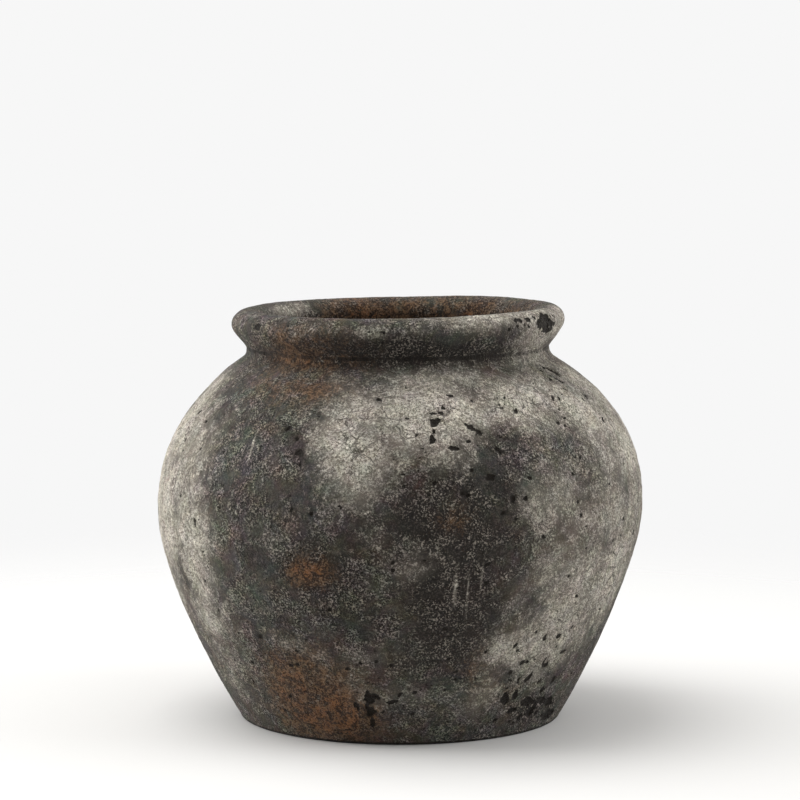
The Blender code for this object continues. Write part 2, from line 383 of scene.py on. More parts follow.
# %% From a list of marks to one value per point
def clouds(marks, inner=False):
    """The marks of one kind, laid over each other and frayed at the edges."""
    total = np.zeros(base.shape[:2])
    side = np.arange(len(rows)) >= CREST_ROW
    mine = side if inner else ~side
    for mark_azimuth, level, width, tall, lean, strength in marks:
        far = reach(mark_azimuth, level, width, tall, lean, inner)
        soft = np.exp(-0.9 * far * far) * strength
        total = 1 - (1 - total) * (1 - np.clip(soft, 0, 0.98))
    return total * mine[:, None]


lime_and_edge_highlight = clouds(LIME_AND_EDGE_HIGHLIGHT) + clouds(LIME_INSIDE, inner=True)
smoke_and_shade = clouds(SMOKE_AND_SHADE) + clouds(SMOKE_AND_SHADE_INSIDE, inner=True)
rust = clouds(RUST) + clouds(RUST_INSIDE, inner=True)
lime_and_edge_highlight = np.clip(lime_and_edge_highlight * (1 + 0.55 * ragged_big) + 0.10 * ragged_small, 0, 1.2)
smoke_and_shade = np.clip(smoke_and_shade * (1 + 0.6 * ragged_big[:, ::-1]), 0, 1)
rust = np.clip(rust * (1 + 0.7 * ragged_small) * (1 + 0.5 * ragged_big), 0, 1.2)
print("lime_and_edge_highlight", round(float(lime_and_edge_highlight.mean()), 3), "rust", round(float(rust.mean()), 3))

# %% [markdown]
# ## Chips and pits
#
# Where grit popped out or the skin was knocked, dark hollows with ragged outlines are left. The large ones
# are listed one by one, and seeded random numbers scatter the small ones where the pot is worn most. They
# are cut into the real surface and not only painted on, so light catches their edges from every side.

# %% Chips cut into the skin
# azimuth, height, width, tall, lean, depth: degrees and millimetres
CHIPS = [
    (-8.5, 30, 7, 8, 0, 1.4), (-8.8, 21, 6, 7, 0, 1.4), (-8.6, 14, 2.4, 7, 0, 0.9),
    (-2.0, 27, 8, 2.6, 10, 1.0), (-13, 24, 3, 6, 20, 0.8), (8.6, 183, 5.5, 5, 20, 1.2),
    (8.4, 187.5, 4, 2, 0, 0.8), (11.6, 190, 2.4, 2.6, 0, 0.9), (14.6, 196, 4.5, 2.6, -20, 0.9),
    (7.6, 174.5, 3.2, 4.5, 0, 1.0), (8.2, 178.5, 2, 3, 0, 0.8), (18.0, 180, 3, 7, 50, 0.9),
    (20.0, 177, 2.6, 4.5, 60, 0.8), (13.0, 170, 6, 2.6, -8, 0.9), (23.8, 168.5, 3.6, 3, 0, 1.0),
    (20.8, 154, 5, 4.5, 20, 1.0), (26.0, 142, 4, 4.6, 0, 1.0), (29.2, 142, 3, 3, 0, 0.9),
    (41, 60, 2.6, 5, -25, 0.9), (40, 37, 3.4, 7, -30, 1.0), (44, 45, 2, 5, -20, 0.8),
    (33.6, 25, 5, 8, 10, 1.2), (38.0, 17, 7, 4, 0, 1.2), (37.0, 27, 4, 7, 0, 1.1),
    (43.0, 21, 9, 6, -10, 1.2), (47.0, 14, 6, 7, 0, 1.2), (50.5, 20, 8, 5, -20, 1.1),
    (56.0, 17, 10, 6, -20, 1.2), (60.0, 8, 16, 7, 0, 1.3), (52, 33, 5, 3, -20, 0.9),
    (61.5, 230.5, 16, 12, 0, 1.4), (56, 230.0, 5, 5, 0, 0.9), (50, 233.0, 5, 3, -20, 0.7),
    (45, 233.5, 6, 2.4, -10, 0.7), (66, 228.5, 5, 6, 0, 0.9), (64, 204, 10, 3.2, -48, 1.1),
    (61.5, 199, 7, 2, -48, 0.9), (57, 201, 4, 1.6, -40, 0.8), (59, 195, 4, 1.5, -35, 0.8),
    (-54.5, 124, 2, 5, 10, 0.9), (-25, 166, 5, 4.6, 0, 0.5), (-55, 231, 6, 4.5, 0, 0.7),
    (-31, 46, 3.4, 2.2, 0, 0.8), (-28.5, 47, 3, 2.4, -30, 0.8), (-14, 47, 3, 2, 0, 0.7),
    (-38, 62, 3, 3.4, 30, 0.7), (20, 107, 5, 2, 20, 0.8), (48, 160, 3, 2, 0, 0.6),
    (104, 150, 7, 6, 0, 1.1), (110, 143, 4, 4, 0, 1.0), (128, 60, 8, 6, 10, 1.2),
    (160, 190, 6, 4, 0, 1.0), (-170, 118, 8, 6, -20, 1.1), (-163, 112, 4, 5, 0, 1.0),
    (-132, 30, 9, 7, 0, 1.3), (-120, 168, 6, 4, 30, 0.9), (-96, 84, 5, 4, 0, 0.9),
    (176, 231, 8, 6, 0, 1.0), (-150, 12, 12, 6, 0, 1.2), (90, 15, 9, 6, 0, 1.1),
]
print(len(CHIPS), "chips placed by hand")

# %% Small pits, scattered with a fixed seed
# zones of small pits: azimuth and height from and to, how many, smallest, largest
PIT_ZONES = [
    (30, 56, 8, 62, 46, 1.2, 3.4), (40, 64, 60, 125, 20, 1.0, 2.4), (4, 34, 140, 196, 34, 0.9, 2.6),
    (44, 70, 170, 206, 26, 1.0, 3.0), (-62, -20, 20, 190, 40, 0.9, 2.2), (-18, 20, 10, 60, 40, 1.0, 2.6),
    (-180, 180, 10, 205, 260, 0.9, 2.8), (40, 70, 226, 236, 18, 0.9, 2.2),
    (-180, 180, 222, 236, 50, 0.8, 2.0),
]
random.seed(37)
pits = []
for from_azimuth, to_azimuth, from_level, to_level, count, smallest, largest in PIT_ZONES:
    for _ in range(count):
        size = smallest + (largest - smallest) * random.random() ** 2
        pits.append((random.uniform(from_azimuth, to_azimuth), random.uniform(from_level, to_level),
                     size * random.uniform(0.8, 1.7), size * random.uniform(0.7, 1.2),
                     random.uniform(-60, 60), 0.35 + 0.2 * size))
print(len(pits), "small pits")

# %% Cut the chips and pits, and paint shade in the crease
DARK_EDGE = (1.40, 0.80)      # where a chip's dark starts and is full, in half sizes
HOLLOW_EDGE = (1.12, 0.72)    # and where its hollow does
chip_and_crease_shade = np.zeros(base.shape[:2])
hollow = np.zeros(base.shape[:2])
fray = 0.60 * speckle(2.6 * MM, 3, 13)
for mark_azimuth, level, width, tall, lean, depth in CHIPS + pits:
    middle = row_at(level * MM)
    near = max(width, tall) * MM
    part = slice(*np.searchsorted(along[:CREST_ROW], (middle - near, middle + near)))
    far = reach(mark_azimuth, level, width, tall, lean, part=part) + fray[part]
    chip_and_crease_shade[part] = np.maximum(chip_and_crease_shade[part], ramp(far, *DARK_EDGE))
    hollow[part] = np.maximum(hollow[part], ramp(far, *HOLLOW_EDGE) * depth)
# The bottom 3 mm of the foot is made darker, most of all below 1.2 mm.
foot_dark_line = ramp(height, 2.8 * MM, 1.2 * MM)
# Painted shade: a dark band in the crease where the roll sits on the collar.
crease_shade = ramp(np.abs(height - COLLAR_TOP), 2.6 * MM, 0.8 * MM)
foot_line_and_crease_shade = np.where(np.arange(len(rows)) < CREST_ROW, np.maximum(0.75 * foot_dark_line, 0.55 * crease_shade), 0)
chip_and_crease_shade = np.maximum(chip_and_crease_shade, foot_line_and_crease_shade[:, None] * (1 + 0.25 * ragged_small))
print("deepest hollow", round(float(hollow.max()), 2), "mm")

# %% [markdown]
# ## The relief of the skin
#
# A hand-built pot is never truly round. Its centre line wanders by a millimetre,
# its rim leans by about a degree, and its wall swells and sinks a little. On top
# of that come the crust of lime, which stands proud, and fine grit. All of it is
# a push along the wall's own outward direction, so the foot can stay flat.

# %% Push the skin in and out
RIM_LEAN = radians(1.0)
DRIFT = [(0, 0), (70, -0.8), (125, 0.0), (190, 1.1), (214, -1.4), (237, -1.1)]   # height, mm

swell = 0.45 * speckle(95 * MM, 2, 1) + 0.22 * speckle(34 * MM, 2, 2)
lumps = 0.16 * speckle(11 * MM, 3, 3)
grit = 0.11 * speckle(2.6 * MM, 2, 4)
crust = lime_and_edge_highlight * (0.16 + 0.20 * ragged_small)
push = swell + lumps + grit + crust - hollow
standing = ramp(height, 0.3 * MM, 5 * MM)
standing[CREST_ROW:] = 1
standing[0] = standing[-1] = 0
skin = base + outward * (push * standing[:, None])[:, :, None] * MM

drift = np.interp(height / MM, *zip(*DRIFT)) * MM
skin[:, :, 0] += drift[:, None]
lean_share = ramp(height, SHOULDER_TOP, HEIGHT)
skin[:, :, 2] += skin[:, :, 0] * tan(RIM_LEAN) * lean_share[:, None]

# %% The direction each point of the skin faces
step_round = np.roll(skin, -1, 1) - np.roll(skin, 1, 1)
step_up = np.gradient(skin, axis=0)
normals = np.cross(step_round, step_up)
sizes = np.linalg.norm(normals, axis=2, keepdims=True)
normals = np.where(sizes > 1e-12, normals / np.maximum(sizes, 1e-12), outward)
print("skin pushed by", round(float(push.min()), 2), "to", round(float(push.max()), 2), "mm")

# %% [markdown]
# ## Turn the members
#
# Each member starts as a closed section, which is spun round the axis in a full
# turn with its ends merged. Every point remembers its row, so it can then be
# moved onto the skin. The flat faces where two members meet stay hidden in the
# wall. Normals are taken from the one skin, so shading runs across the joints.

# %% The turned form of one member
DOUBLINGS = 4   # a sector is spun, then doubled this many times


def turned(member):
    """One member as a plain turned form, with each point's row written on it."""
    chain = []
    for first, last in spans[member]:
        chain += [row for row in range(first, last + 1) if row not in chain]
    bm = bmesh.new()
    row_of = bm.verts.layers.int.new("row")
    section = []
    for row in chain:
        vert = bm.verts.new((radius[row], 0, height[row]))
        vert[row_of] = row
        section.append(vert)
    links = list(zip(section, section[1:]))
    if 0 not in chain:
        links.append((section[-1], section[0]))
    edges = [bm.edges.new(link) for link in links]
    sector = 2 * pi / 2 ** DOUBLINGS
    bmesh.ops.spin(bm, geom=section + edges, cent=(0, 0, 0), axis=(0, 0, 1),
                   angle=sector, steps=STEPS // 2 ** DOUBLINGS)
    for _ in range(DOUBLINGS):
        copy = bmesh.ops.duplicate(bm, geom=bm.verts[:] + bm.edges[:] + bm.faces[:])
        again = [part for part in copy["geom"] if isinstance(part, bmesh.types.BMVert)]
        bmesh.ops.rotate(bm, verts=again, cent=(0, 0, 0), matrix=Matrix.Rotation(sector, 3, "Z"))
        sector *= 2
    bmesh.ops.remove_doubles(bm, verts=bm.verts, dist=0.01 * MM)
    bmesh.ops.recalc_face_normals(bm, faces=bm.faces)
    for face in bm.faces:
        face.smooth = True
    mesh = bpy.data.meshes.new(member + "_clay")
    bm.to_mesh(mesh)
    bm.free()
    return mesh

# %% Move the points onto the skin
def values_of(items, name, kind, width=1):
    """One value of every point, corner or face, as an array."""
    found = np.empty(len(items) * width, kind)
    items.foreach_get(name, found)
    return found.reshape(-1, width) if width > 1 else found


def laid_on_skin(mesh):
    """Moves the points onto the skin, and gives back each one's row and column."""
    at = values_of(mesh.vertices, "co", np.float32, 3)
    row = values_of(mesh.attributes["row"].data, "value", np.int32)
    column = np.rint(np.arctan2(at[:, 1], at[:, 0]) / (2 * pi) * STEPS).astype(int) % STEPS
    mesh.vertices.foreach_set("co", skin[row, column].astype(np.float32).ravel())
    mesh.attributes.remove(mesh.attributes["row"])
    return row, column

# %% Marks and shading on the mesh
MARKS = {"lime_and_edge_highlight": lime_and_edge_highlight, "smoke_and_shade": smoke_and_shade, "rust": rust, "chip_and_crease_shade": chip_and_crease_shade}


def write_marks(mesh, row, column):
    """Each kind of mark becomes a named value on every point."""
    for name, values in MARKS.items():
        layer = mesh.attributes.new(name, "FLOAT", "POINT")
        layer.data.foreach_set("value", values[row, column].astype(np.float32))


def write_normals(mesh, row, column):
    """Shading comes from the skin, and on a hidden joint from the flat face."""
    mesh.update()
    corner_vertex = values_of(mesh.loops, "vertex_index", np.int32)
    starts = values_of(mesh.polygons, "loop_start", np.int32)
    counts = values_of(mesh.polygons, "loop_total", np.int32)
    corner_row = row[corner_vertex]
    reach_of_face = np.maximum.reduceat(corner_row, starts) - np.minimum.reduceat(corner_row, starts)
    shading = normals[corner_row, column[corner_vertex]]
    flat = np.repeat(values_of(mesh.polygons, "normal", np.float32, 3), counts, axis=0)
    hidden = np.repeat(reach_of_face > 1, counts)
    shading[hidden] = flat[hidden]
    mesh.normals_split_custom_set(shading.tolist())

# %% [markdown]
# ## Unroll each member
#
# A map that unrolls the member lets its finish be painted into an image. Each
# band of the wall is cut in three and laid flat in shelves, as a label is peeled
# off a jar. The hidden joints and the inside get narrower shelves.

# %% A map for each member
MARGIN = 0.004                         # left free at each side of a strip
SEEN_FROM = spans["base_dish"][0][1]   # rows above this one are outside the foot


def shelves_of(member):
    """Bands of rows that unroll into one strip each: first and last row, height."""
    shelves = []
    for first, last in spans[member]:
        seen = last > SEEN_FROM and first < CREST_ROW
        shelves.append((first, last, (along[last] - along[first]) * (1.0 if seen else 0.3)))
    for before, after in zip(spans[member], spans[member][1:]):
        if before[1] != after[0]:
            shelves.append((before[1], after[0], WALL / 2))
    if spans[member][0][0] > 0:
        shelves.append((spans[member][0][0], spans[member][-1][1], WALL / 2))
    return shelves


def write_bake_map(mesh, member, row, column):
    """Unrolls the member: each band of rows, cut in three, is laid in shelves."""
    corner_vertex = values_of(mesh.loops, "vertex_index", np.int32)
    starts = values_of(mesh.polygons, "loop_start", np.int32)
    counts = values_of(mesh.polygons, "loop_total", np.int32)
    corner_row = row[corner_vertex]
    at = np.where(radius[corner_row] == 0, np.nan, column[corner_vertex])
    left, right = np.fmin.reduceat(at, starts), np.fmax.reduceat(at, starts)
    crosses = right - left > STEPS / 2
    left = np.repeat(np.where(crosses, STEPS - 1, left), counts)
    at = np.where((at == 0) & np.repeat(crosses, counts), STEPS, at)
    at = np.where(np.isnan(at), left + 0.5, at)
    third = left * 3 // STEPS
    low = np.repeat(np.minimum.reduceat(corner_row, starts), counts)
    high = np.repeat(np.maximum.reduceat(corner_row, starts), counts)

    shelves = shelves_of(member)
    total = 3 * sum(tall for _, _, tall in shelves)
    flat = np.zeros((len(corner_row), 2))
    flat[:, 0] = MARGIN + (1 - 2 * MARGIN) * (at * 3 / STEPS - third)
    foot = 0.0
    for first, last, tall in shelves:
        joined = np.isin(low, first) & np.isin(high, last)
        mine = joined | ((low >= first) & (high <= last) & (high - low <= 1))
        up = (along[corner_row] - along[first]) / (along[last] - along[first])
        level = foot + (third + MARGIN + (1 - 2 * MARGIN) * up) * tall
        flat[mine, 1] = level[mine] / total
        foot += 3 * tall
    mesh.uv_layers.new(name="OFBake").data.foreach_set("uv", flat.astype(np.float32).ravel())

# %% The five members
def clay_member(member):
    """Makes one member, from its section to a finished object."""
    mesh = turned(member)
    row, column = laid_on_skin(mesh)
    write_marks(mesh, row, column)
    write_normals(mesh, row, column)
    write_bake_map(mesh, member, row, column)
    piece = bpy.data.objects.new(member + "_clay", mesh)
    bpy.context.scene.collection.objects.link(piece)
    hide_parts(member)
    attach(piece, "root")
    return piece


members = {member: clay_member(member) for member in
           ("base_dish", "lower_wall", "shoulder", "collar", "rolled_rim")}
for name, piece in members.items():
    print(name, len(piece.data.vertices), "points")

# %% [markdown]
# ## Aged clay
#
# Real thing: low-fired earthenware, smoked black in the kiln, then washed with lime and earth and rubbed
# back. It is not glazed, so it has a rough, matt surface. Layers of colour are laid in the order they came
# onto the pot: clay, grain, smoke, rust, lime and, last, the chips that cut through all of them. The smoke
# and chip layers also lay painted shade under the roll, in its crease and inside the mouth, and the lime
# layer lays a painted highlight on the left edge.

# %% Nodes for the clay
def colour(hex_text):
    """An sRGB hex colour as the linear numbers that a shader takes."""
    parts = [int(hex_text[i:i + 2], 16) / 255 for i in (1, 3, 5)]
    linear = [c / 12.92 if c <= 0.04045 else ((c + 0.055) / 1.055) ** 2.4 for c in parts]
    return (*linear, 1.0)


def add(tree, kind, inputs, out=0, **settings):
    """Adds one node, sets or links its inputs, and gives back one output."""
    node = tree.nodes.new(kind)
    for name, value in settings.items():
        setattr(node, name, value)
    for name, value in inputs.items():
        if isinstance(value, bpy.types.NodeSocket):
            tree.links.new(value, node.inputs[name])
        else:
            node.inputs[name].default_value = value
    return node.outputs[out] if node.outputs else node


def per_metre(size_mm):
    """Noise scale for lumps of a real size."""
    return 1 / (size_mm * MM)


BLEND = {"data_type": "RGBA", "clamp_factor": True, "out": 2}   # inputs: 0 share, 6 under, 7 over
SMOOTH = {"interpolation_type": "SMOOTHSTEP"}                   # inputs: 0 value, 1-2 from, 3-4 to
PLUS, TIMES = {"operation": "ADD"}, {"operation": "MULTIPLY"}
TIMES_PLUS = {"operation": "MULTIPLY_ADD"}

clay = bpy.data.materials.new("smoked_earthenware_with_lime_wash")
clay.use_nodes = True
tree = clay.node_tree
tree.nodes.clear()
spot = add(tree, "ShaderNodeTexCoord", {}, out="Object")
mark = {name: add(tree, "ShaderNodeAttribute", {}, out="Fac", attribute_name=name) for name in MARKS}
print("the clay reads", ", ".join(mark), "from the mesh")

# %% [markdown]
# ## Patterns of the clay
#
# Each noise stands for something one could measure: grit of a millimetre, flakes
# of wash of four, blotches of thirteen, clouds of forty. Their scales are worked
# out from those sizes. Real grit is finer than half a millimetre, which would not
# show, so the finest noise is drawn at about one.

# %% Grit and flakes
GRIT, CRUMB, FLAKE = 1.05, 1.3, 4.4          # millimetres, as all sizes here
grain = add(tree, "ShaderNodeTexNoise", {"Vector": spot, "Scale": per_metre(GRIT), "Detail": 1.5,
                                         "Roughness": 0.6, "Distortion": 0.4})
far_spot = add(tree, "ShaderNodeMapping", {"Vector": spot, "Location": (3.1, 2.2, -4.3)})
crumbs = add(tree, "ShaderNodeTexNoise", {"Vector": far_spot, "Scale": per_metre(CRUMB), "Detail": 2.0,
                                          "Roughness": 0.65, "Distortion": 1.2})
mottle = add(tree, "ShaderNodeTexNoise", {"Vector": spot, "Scale": per_metre(FLAKE), "Detail": 3.0,
                                          "Roughness": 0.62, "Distortion": 1.1})
print("grit of", GRIT, "and", CRUMB, "mm, flakes of", FLAKE, "mm")

# %% Blotches, clouds and hues
BLOTCH, CLOUD, TINT, HUE = 13, 38, 46, 12
blotch = add(tree, "ShaderNodeTexNoise", {"Vector": far_spot, "Scale": per_metre(BLOTCH), "Detail": 5.0,
                                          "Roughness": 0.66, "Distortion": 0.7})
cloud = add(tree, "ShaderNodeTexNoise", {"Vector": spot, "Scale": per_metre(CLOUD), "Detail": 4.0,
                                         "Roughness": 0.6, "Distortion": 0.5})
tint = add(tree, "ShaderNodeTexNoise", {"Vector": far_spot, "Scale": per_metre(TINT), "Detail": 3.0,
                                        "Roughness": 0.55, "Distortion": 0.3})
hues = add(tree, "ShaderNodeTexNoise", {"Vector": far_spot, "Scale": per_metre(HUE), "Detail": 3.0,
                                        "Roughness": 0.6, "Distortion": 0.6}, out="Color")
print("blotches of", BLOTCH, "mm, clouds of", CLOUD, "and", TINT, "mm, hues of", HUE, "mm")

# %% Thin lines
# Two lie where a smooth noise passes its middle value, and one between the plates
# that the wash has cracked into.
THREAD, VEIN, WOBBLE, PLATE = 3.0, 5.5, 8, 10
folds = add(tree, "ShaderNodeTexNoise", {"Vector": far_spot, "Scale": per_metre(THREAD), "Detail": 2.5,
                                         "Roughness": 0.6, "Distortion": 1.2})
folds = add(tree, "ShaderNodeMath", {0: folds, 1: 0.5}, operation="SUBTRACT")
folds = add(tree, "ShaderNodeMath", {0: folds}, operation="ABSOLUTE")
threads = add(tree, "ShaderNodeMapRange", {0: folds, 1: 0.030, 2: 0.008}, **SMOOTH)
veins = add(tree, "ShaderNodeTexNoise", {"Vector": spot, "Scale": per_metre(VEIN), "Detail": 2.0,
                                         "Roughness": 0.55, "Distortion": 1.6})
veins = add(tree, "ShaderNodeMath", {0: veins, 1: 0.5}, operation="SUBTRACT")
veins = add(tree, "ShaderNodeMath", {0: veins}, operation="ABSOLUTE")
veins = add(tree, "ShaderNodeMapRange", {0: veins, 1: 0.016, 2: 0.005}, **SMOOTH)
wobble = add(tree, "ShaderNodeTexNoise", {"Vector": spot, "Scale": per_metre(WOBBLE), "Detail": 3.0,
                                          "Roughness": 0.6}, out="Color")
bent = add(tree, "ShaderNodeVectorMath", {0: wobble, 1: (0.009, 0.009, 0.009), 2: spot},
           operation="MULTIPLY_ADD")
cracks = add(tree, "ShaderNodeTexVoronoi", {"Vector": bent, "Scale": per_metre(PLATE)},
             feature="DISTANCE_TO_EDGE")
print("threads, veins and cracked plates of", THREAD, VEIN, PLATE, "mm")

# %% [markdown]
# ## The clay under everything
#
# Clay that was smoked in the kiln is not one black. It drifts from grey-green to
# brown over a hand's width. On it lie pale grit, scratches filled with dust, and
# open pores. A coarser noise gathers them, so some zones are worn smooth and
# others are rough.

# %% Tones of the bare clay
smoky = add(tree, "ShaderNodeMapRange", {0: cloud, 1: 0.36, 2: 0.64}, **SMOOTH)
body = add(tree, "ShaderNodeMix", {0: smoky, 6: colour("#292522"), 7: colour("#403b35")}, **BLEND)
cool = add(tree, "ShaderNodeMapRange", {0: tint, 1: 0.52, 2: 0.66, 4: 0.7}, **SMOOTH)
body = add(tree, "ShaderNodeMix", {0: cool, 6: body, 7: colour("#3d403b")}, **BLEND)
earthy = add(tree, "ShaderNodeMapRange", {0: tint, 1: 0.48, 2: 0.34, 4: 0.7}, **SMOOTH)
body = add(tree, "ShaderNodeMix", {0: earthy, 6: body, 7: colour("#44392f")}, **BLEND)
print(len(tree.nodes), "nodes with the bare clay")

# %% Grit, dust and pores
rough_zone = add(tree, "ShaderNodeMapRange", {0: blotch, 1: 0.43, 2: 0.58, 3: 0.12}, **SMOOTH)
pale = add(tree, "ShaderNodeMapRange", {0: grain, 1: 0.50, 2: 0.60, 4: 0.90}, **SMOOTH)
pale = add(tree, "ShaderNodeMath", {0: pale, 1: rough_zone}, **TIMES)
body = add(tree, "ShaderNodeMix", {0: pale, 6: body, 7: colour("#aaa295")}, **BLEND)
thread = add(tree, "ShaderNodeMapRange", {0: crumbs, 1: 0.46, 2: 0.56, 4: 0.95}, **SMOOTH)
thread = add(tree, "ShaderNodeMath", {0: thread, 1: threads}, **TIMES)
thread = add(tree, "ShaderNodeMath", {0: thread, 1: rough_zone}, **TIMES)
body = add(tree, "ShaderNodeMix", {0: thread, 6: body, 7: colour("#b8b2a7")}, **BLEND)
pore = add(tree, "ShaderNodeMapRange", {0: crumbs, 1: 0.48, 2: 0.40, 4: 0.90}, **SMOOTH)
pore = add(tree, "ShaderNodeMath", {0: pore, 1: rough_zone}, **TIMES)
body = add(tree, "ShaderNodeMix", {0: pore, 6: body, 7: colour("#13110f")}, **BLEND)
body = add(tree, "ShaderNodeMix", {0: 0.45, 6: body, 7: hues}, blend_type="SOFT_LIGHT", **BLEND)
body = add(tree, "ShaderNodeMix", {0: 0.80, 6: body, 7: mottle}, blend_type="SOFT_LIGHT", **BLEND)
print(len(tree.nodes), "nodes with its grit")

# %% [markdown]
# ## Smoke with painted shade, and rust
#
# Smoke is a stain in the clay, so it darkens what is under it and leaves a few pale grains. Under the roll
# and inside the mouth the same darkening is painted shade. Iron bleeds out as rust, brown where it is thin
# and orange only in the middle of a patch. Both read the clouds kept on the mesh. Noise is added before
# the step that cuts their edge, because a stain has no clean outline.

# %% Smoke, and painted shade
smoke_and_shade_edge = add(tree, "ShaderNodeMath", {0: blotch, 1: 1.3, 2: -0.65}, **TIMES_PLUS)
smoke_and_shade_share = add(tree, "ShaderNodeMath", {0: mark["smoke_and_shade"], 1: smoke_and_shade_edge}, **PLUS)
smoke_and_shade_share = add(tree, "ShaderNodeMapRange", {0: smoke_and_shade_share, 1: 0.05, 2: 0.85, 4: 0.88}, **SMOOTH)
soot_and_shade_tone = add(tree, "ShaderNodeMapRange", {0: grain, 1: 0.53, 2: 0.63}, **SMOOTH)
soot_and_shade_tone = add(tree, "ShaderNodeMath", {0: soot_and_shade_tone, 1: rough_zone}, **TIMES)
soot_and_shade_tone = add(tree, "ShaderNodeMix", {0: soot_and_shade_tone, 6: colour("#26221f"), 7: colour("#988f84")}, **BLEND)
# Here smoke, and the painted shade under the roll and inside the mouth, darken the clay.
body = add(tree, "ShaderNodeMix", {0: smoke_and_shade_share, 6: body, 7: soot_and_shade_tone}, **BLEND)
print(len(tree.nodes), "nodes with smoke")

# %% Rust
rust_edge = add(tree, "ShaderNodeMath", {0: crumbs, 1: 1.2, 2: -0.6}, **TIMES_PLUS)
rusted = add(tree, "ShaderNodeMath", {0: mark["rust"], 1: rust_edge}, **PLUS)
rust_share = add(tree, "ShaderNodeMapRange", {0: rusted, 1: 0.05, 2: 0.75, 4: 0.85}, **SMOOTH)
glint = add(tree, "ShaderNodeMix", {0: 0.55, 2: grain, 3: mottle})
glint = add(tree, "ShaderNodeMapRange", {0: glint, 1: 0.44, 2: 0.58}, **SMOOTH)
rust_tone = add(tree, "ShaderNodeMix", {0: glint, 6: colour("#38281c"), 7: colour("#7c5f45")}, **BLEND)
body = add(tree, "ShaderNodeMix", {0: rust_share, 6: body, 7: rust_tone}, **BLEND)
raw_rust = add(tree, "ShaderNodeMapRange", {0: rusted, 1: 0.80, 2: 1.20, 4: 0.45}, **SMOOTH)
raw_rust = add(tree, "ShaderNodeMath", {0: raw_rust, 1: glint}, **TIMES)
body = add(tree, "ShaderNodeMix", {0: raw_rust, 6: body, 7: colour("#8f5933")}, **BLEND)
print(len(tree.nodes), "nodes with rust")

# %% [markdown]
# ## Lime wash, with a painted highlight on the left edge
#
# The wash is laid twice. First comes a thin veil that only greys the clay, as watery lime does. Then comes
# the thick part. It sits on grains and flakes and leaves the lows bare, because the wash was rubbed back.
# Noises of four sizes are added to the cloud before one smooth step, which tears its edge at every size.
# On the left edge of the jar both layers are also a painted highlight, laid over real wash.

# %% The thin veil
veil_and_edge_highlight = add(tree, "ShaderNodeMath", {0: blotch, 1: 0.9, 2: -0.45}, **TIMES_PLUS)
veil_and_edge_highlight = add(tree, "ShaderNodeMath", {0: mark["lime_and_edge_highlight"], 1: veil_and_edge_highlight}, **PLUS)
veil_and_edge_highlight = add(tree, "ShaderNodeMapRange", {0: veil_and_edge_highlight, 1: 0.10, 2: 0.95, 4: 0.58}, **SMOOTH)
body = add(tree, "ShaderNodeMix", {0: veil_and_edge_highlight, 6: body, 7: colour("#9f978a")}, **BLEND)
print(len(tree.nodes), "nodes with the veil")

# %% The thick wash
wash_and_highlight_edge = add(tree, "ShaderNodeMath", {0: grain, 1: 0.9, 2: -0.90}, **TIMES_PLUS)
wash_and_highlight_edge = add(tree, "ShaderNodeMath", {0: mottle, 1: 1.3, 2: wash_and_highlight_edge}, **TIMES_PLUS)
wash_and_highlight_edge = add(tree, "ShaderNodeMath", {0: blotch, 1: 1.4, 2: wash_and_highlight_edge}, **TIMES_PLUS)
wash_and_highlight_edge = add(tree, "ShaderNodeMath", {0: crumbs, 1: 0.7, 2: wash_and_highlight_edge}, **TIMES_PLUS)
wash_and_edge_highlight = add(tree, "ShaderNodeMath", {0: mark["lime_and_edge_highlight"], 1: wash_and_highlight_edge}, **PLUS)
wash_and_edge_highlight = add(tree, "ShaderNodeMapRange", {0: wash_and_edge_highlight, 1: 1.62, 2: 2.35, 4: 0.90}, **SMOOTH)
wash_and_highlight_tone = add(tree, "ShaderNodeMapRange", {0: crumbs, 1: 0.40, 2: 0.56}, **SMOOTH)
wash_and_highlight_tone = add(tree, "ShaderNodeMix", {0: wash_and_highlight_tone, 6: colour("#878073"), 7: colour("#e9e1d2")}, **BLEND)
wash_and_highlight_tone = add(tree, "ShaderNodeMix", {0: 0.25, 6: wash_and_highlight_tone, 7: hues}, blend_type="SOFT_LIGHT", **BLEND)
# Where the left-edge clouds lie, this pale layer is also a painted highlight.
body = add(tree, "ShaderNodeMix", {0: wash_and_edge_highlight, 6: body, 7: wash_and_highlight_tone}, **BLEND)
print(len(tree.nodes), "nodes with the wash")

# %% [markdown]
# ## Cracks, chips and painted crease shade
#
# Thick wash shrinks as it dries, so thin dark lines run through it and nowhere else. Chips come last. They
# break through every layer to the dark clay inside, and they read the same values that hollow the mesh.
# The same dark also paints shade in the crease under the roll, and a dark line round the foot, which are
# not hollowed.

# %% Cracks in the wash, chips and painted crease shade
crazed = add(tree, "ShaderNodeMapRange", {0: cracks, 1: 0.06, 2: 0.02}, **SMOOTH)
crazed = add(tree, "ShaderNodeMath", {0: crazed, 1: veins}, operation="MAXIMUM")
some = add(tree, "ShaderNodeMapRange", {0: cloud, 1: 0.44, 2: 0.54, 3: 0.25, 4: 0.80}, **SMOOTH)
crazed = add(tree, "ShaderNodeMath", {0: crazed, 1: some}, **TIMES)
crazed = add(tree, "ShaderNodeMath", {0: crazed, 1: wash_and_edge_highlight}, **TIMES)
body = add(tree, "ShaderNodeMix", {0: crazed, 6: body, 7: colour("#2f2a25")}, **BLEND)

